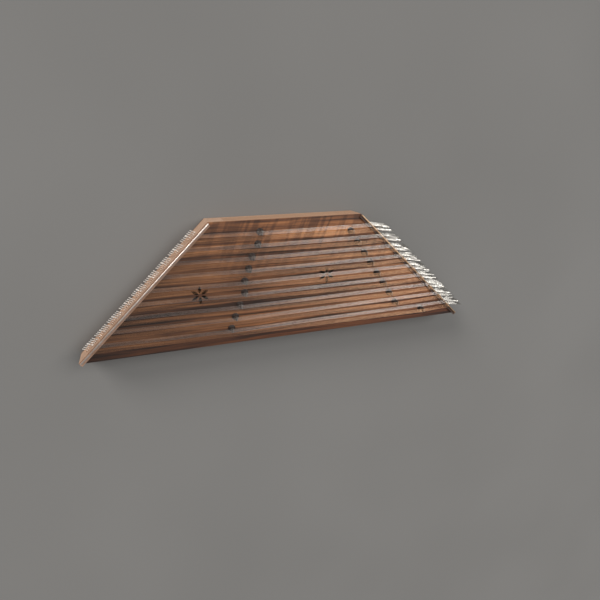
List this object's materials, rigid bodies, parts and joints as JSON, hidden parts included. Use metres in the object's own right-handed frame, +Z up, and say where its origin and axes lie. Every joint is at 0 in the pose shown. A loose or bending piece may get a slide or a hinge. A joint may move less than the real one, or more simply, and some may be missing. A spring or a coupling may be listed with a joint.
{
  "type": "hammered dulcimer",
  "caption": "Trapezoid box zither with courses of steel and bronze strings on loose turned bridges, tuned by pins in its right side and struck with light mallets.",
  "frame": {"origin": "centre of the back board's underside, half way between the front and rear edges and between the slanted sides, on the surface the instrument lies on", "axes": "+X along the strings from the hitch pins to the tuning pins, +Y from the long front edge to the short rear edge, +Z up out of the soundboard"},
  "size_m": [0.9293, 0.2763, 0.0806],
  "materials": {
    "soundboard_walnut": "figured walnut, satin oil varnish",
    "body_wood": "plain walnut, satin oil varnish",
    "nut_wood": "walnut, satin",
    "bridge_wood": "turned dark wood, polished",
    "inner_wood": "bare pale wood",
    "string_steel": "drawn bright wire",
    "string_bronze": "drawn phosphor bronze wire",
    "pin_steel": "bright plated steel"
  },
  "bodies": {
    "body": {"soundboard": "soundboard_walnut", "back_board": "body_wood", "front_rail": "body_wood", "rear_rail": "body_wood", "hitch_pin_block": "body_wood", "tuning_pin_block": "body_wood", "left_nut": "nut_wood", "right_nut": "nut_wood", "sound_post_1": "inner_wood", "sound_post_2": "inner_wood", "sound_post_3": "inner_wood", "sound_post_4": "inner_wood", "sound_post_5": "inner_wood", "steel_strings": "string_steel", "bronze_strings": "string_bronze"},
    "steel_bridge_1": {"steel_bridge_1": "bridge_wood"},
    "bronze_bridge_1": {"bronze_bridge_1": "bridge_wood"},
    "steel_bridge_2": {"steel_bridge_2": "bridge_wood"},
    "bronze_bridge_2": {"bronze_bridge_2": "bridge_wood"},
    "steel_bridge_3": {"steel_bridge_3": "bridge_wood"},
    "bronze_bridge_3": {"bronze_bridge_3": "bridge_wood"},
    "steel_bridge_4": {"steel_bridge_4": "bridge_wood"},
    "bronze_bridge_4": {"bronze_bridge_4": "bridge_wood"},
    "steel_bridge_5": {"steel_bridge_5": "bridge_wood"},
    "bronze_bridge_5": {"bronze_bridge_5": "bridge_wood"},
    "steel_bridge_6": {"steel_bridge_6": "bridge_wood"},
    "bronze_bridge_6": {"bronze_bridge_6": "bridge_wood"},
    "steel_bridge_7": {"steel_bridge_7": "bridge_wood"},
    "bronze_bridge_7": {"bronze_bridge_7": "bridge_wood"},
    "steel_bridge_8": {"steel_bridge_8": "bridge_wood"},
    "bronze_bridge_8": {"bronze_bridge_8": "bridge_wood"},
    "steel_bridge_9": {"steel_bridge_9": "bridge_wood"},
    "bronze_bridge_9": {"bronze_bridge_9": "bridge_wood"},
    "steel_tuning_pin_1": {"steel_tuning_pin_1": "pin_steel"},
    "bronze_tuning_pin_1": {"bronze_tuning_pin_1": "pin_steel"},
    "steel_tuning_pin_2": {"steel_tuning_pin_2": "pin_steel"},
    "bronze_tuning_pin_2": {"bronze_tuning_pin_2": "pin_steel"},
    "steel_tuning_pin_3": {"steel_tuning_pin_3": "pin_steel"},
    "bronze_tuning_pin_3": {"bronze_tuning_pin_3": "pin_steel"},
    "steel_tuning_pin_4": {"steel_tuning_pin_4": "pin_steel"},
    "bronze_tuning_pin_4": {"bronze_tuning_pin_4": "pin_steel"},
    "steel_tuning_pin_5": {"steel_tuning_pin_5": "pin_steel"},
    "bronze_tuning_pin_5": {"bronze_tuning_pin_5": "pin_steel"},
    "steel_tuning_pin_6": {"steel_tuning_pin_6": "pin_steel"},
    "bronze_tuning_pin_6": {"bronze_tuning_pin_6": "pin_steel"},
    "steel_tuning_pin_7": {"steel_tuning_pin_7": "pin_steel"},
    "bronze_tuning_pin_7": {"bronze_tuning_pin_7": "pin_steel"},
    "steel_tuning_pin_8": {"steel_tuning_pin_8": "pin_steel"},
    "bronze_tuning_pin_8": {"bronze_tuning_pin_8": "pin_steel"},
    "steel_tuning_pin_9": {"steel_tuning_pin_9": "pin_steel"},
    "bronze_tuning_pin_9": {"bronze_tuning_pin_9": "pin_steel"}
  },
  "joints": [
    {"name": "steel_bridge_1_slide", "type": "slide", "parent": "body", "child": "steel_bridge_1", "axis": [1, 0, 0], "range_m": [-0.008, 0.008]},
    {"name": "bronze_bridge_1_slide", "type": "slide", "parent": "body", "child": "bronze_bridge_1", "axis": [1, 0, 0], "range_m": [-0.008, 0.008]},
    {"name": "steel_bridge_2_slide", "type": "slide", "parent": "body", "child": "steel_bridge_2", "axis": [1, 0, 0], "range_m": [-0.008, 0.008]},
    {"name": "bronze_bridge_2_slide", "type": "slide", "parent": "body", "child": "bronze_bridge_2", "axis": [1, 0, 0], "range_m": [-0.008, 0.008]},
    {"name": "steel_bridge_3_slide", "type": "slide", "parent": "body", "child": "steel_bridge_3", "axis": [1, 0, 0], "range_m": [-0.008, 0.008]},
    {"name": "bronze_bridge_3_slide", "type": "slide", "parent": "body", "child": "bronze_bridge_3", "axis": [1, 0, 0], "range_m": [-0.008, 0.008]},
    {"name": "steel_bridge_4_slide", "type": "slide", "parent": "body", "child": "steel_bridge_4", "axis": [1, 0, 0], "range_m": [-0.008, 0.008]},
    {"name": "bronze_bridge_4_slide", "type": "slide", "parent": "body", "child": "bronze_bridge_4", "axis": [1, 0, 0], "range_m": [-0.008, 0.008]},
    {"name": "steel_bridge_5_slide", "type": "slide", "parent": "body", "child": "steel_bridge_5", "axis": [1, 0, 0], "range_m": [-0.008, 0.008]},
    {"name": "bronze_bridge_5_slide", "type": "slide", "parent": "body", "child": "bronze_bridge_5", "axis": [1, 0, 0], "range_m": [-0.008, 0.008]},
    {"name": "steel_bridge_6_slide", "type": "slide", "parent": "body", "child": "steel_bridge_6", "axis": [1, 0, 0], "range_m": [-0.008, 0.008]},
    {"name": "bronze_bridge_6_slide", "type": "slide", "parent": "body", "child": "bronze_bridge_6", "axis": [1, 0, 0], "range_m": [-0.008, 0.008]},
    {"name": "steel_bridge_7_slide", "type": "slide", "parent": "body", "child": "steel_bridge_7", "axis": [1, 0, 0], "range_m": [-0.008, 0.008]},
    {"name": "bronze_bridge_7_slide", "type": "slide", "parent": "body", "child": "bronze_bridge_7", "axis": [1, 0, 0], "range_m": [-0.008, 0.008]},
    {"name": "steel_bridge_8_slide", "type": "slide", "parent": "body", "child": "steel_bridge_8", "axis": [1, 0, 0], "range_m": [-0.008, 0.008]},
    {"name": "bronze_bridge_8_slide", "type": "slide", "parent": "body", "child": "bronze_bridge_8", "axis": [1, 0, 0], "range_m": [-0.008, 0.008]},
    {"name": "steel_bridge_9_slide", "type": "slide", "parent": "body", "child": "steel_bridge_9", "axis": [1, 0, 0], "range_m": [-0.008, 0.008]},
    {"name": "bronze_bridge_9_slide", "type": "slide", "parent": "body", "child": "bronze_bridge_9", "axis": [1, 0, 0], "range_m": [-0.008, 0.008]},
    {"name": "steel_tuning_pin_1_turn", "type": "hinge", "parent": "body", "child": "steel_tuning_pin_1", "pos_m": [0.20138, 0.10725, 0.045], "axis": [-0.9848, 0.1736, 0], "range_deg": [-360, 90]},
    {"name": "bronze_tuning_pin_1_turn", "type": "hinge", "parent": "body", "child": "bronze_tuning_pin_1", "pos_m": [0.21263, 0.09625, 0.045], "axis": [-0.9848, 0.1736, 0], "range_deg": [-360, 90]},
    {"name": "steel_tuning_pin_2_turn", "type": "hinge", "parent": "body", "child": "steel_tuning_pin_2", "pos_m": [0.22816, 0.08105, 0.045], "axis": [-0.9848, 0.1736, 0], "range_deg": [-360, 90]},
    {"name": "bronze_tuning_pin_2_turn", "type": "hinge", "parent": "body", "child": "bronze_tuning_pin_2", "pos_m": [0.23941, 0.07005, 0.045], "axis": [-0.9848, 0.1736, 0], "range_deg": [-360, 90]},
    {"name": "steel_tuning_pin_3_turn", "type": "hinge", "parent": "body", "child": "steel_tuning_pin_3", "pos_m": [0.25494, 0.05485, 0.045], "axis": [-0.9848, 0.1736, 0], "range_deg": [-360, 90]},
    {"name": "bronze_tuning_pin_3_turn", "type": "hinge", "parent": "body", "child": "bronze_tuning_pin_3", "pos_m": [0.26618, 0.04385, 0.045], "axis": [-0.9848, 0.1736, 0], "range_deg": [-360, 90]},
    {"name": "steel_tuning_pin_4_turn", "type": "hinge", "parent": "body", "child": "steel_tuning_pin_4", "pos_m": [0.28172, 0.02865, 0.045], "axis": [-0.9848, 0.1736, 0], "range_deg": [-360, 90]},
    {"name": "bronze_tuning_pin_4_turn", "type": "hinge", "parent": "body", "child": "bronze_tuning_pin_4", "pos_m": [0.29296, 0.01765, 0.045], "axis": [-0.9848, 0.1736, 0], "range_deg": [-360, 90]},
    {"name": "steel_tuning_pin_5_turn", "type": "hinge", "parent": "body", "child": "steel_tuning_pin_5", "pos_m": [0.3085, 0.00245, 0.045], "axis": [-0.9848, 0.1736, 0], "range_deg": [-360, 90]},
    {"name": "bronze_tuning_pin_5_turn", "type": "hinge", "parent": "body", "child": "bronze_tuning_pin_5", "pos_m": [0.31974, -0.00855, 0.045], "axis": [-0.9848, 0.1736, 0], "range_deg": [-360, 90]},
    {"name": "steel_tuning_pin_6_turn", "type": "hinge", "parent": "body", "child": "steel_tuning_pin_6", "pos_m": [0.33527, -0.02375, 0.045], "axis": [-0.9848, 0.1736, 0], "range_deg": [-360, 90]},
    {"name": "bronze_tuning_pin_6_turn", "type": "hinge", "parent": "body", "child": "bronze_tuning_pin_6", "pos_m": [0.34652, -0.03475, 0.045], "axis": [-0.9848, 0.1736, 0], "range_deg": [-360, 90]},
    {"name": "steel_tuning_pin_7_turn", "type": "hinge", "parent": "body", "child": "steel_tuning_pin_7", "pos_m": [0.36205, -0.04995, 0.045], "axis": [-0.9848, 0.1736, 0], "range_deg": [-360, 90]},
    {"name": "bronze_tuning_pin_7_turn", "type": "hinge", "parent": "body", "child": "bronze_tuning_pin_7", "pos_m": [0.37329, -0.06095, 0.045], "axis": [-0.9848, 0.1736, 0], "range_deg": [-360, 90]},
    {"name": "steel_tuning_pin_8_turn", "type": "hinge", "parent": "body", "child": "steel_tuning_pin_8", "pos_m": [0.38883, -0.07615, 0.045], "axis": [-0.9848, 0.1736, 0], "range_deg": [-360, 90]},
    {"name": "bronze_tuning_pin_8_turn", "type": "hinge", "parent": "body", "child": "bronze_tuning_pin_8", "pos_m": [0.40007, -0.08715, 0.045], "axis": [-0.9848, 0.1736, 0], "range_deg": [-360, 90]},
    {"name": "steel_tuning_pin_9_turn", "type": "hinge", "parent": "body", "child": "steel_tuning_pin_9", "pos_m": [0.41561, -0.10235, 0.045], "axis": [-0.9848, 0.1736, 0], "range_deg": [-360, 90]},
    {"name": "bronze_tuning_pin_9_turn", "type": "hinge", "parent": "body", "child": "bronze_tuning_pin_9", "pos_m": [0.42685, -0.11335, 0.045], "axis": [-0.9848, 0.1736, 0], "range_deg": [-360, 90]}
  ]
}
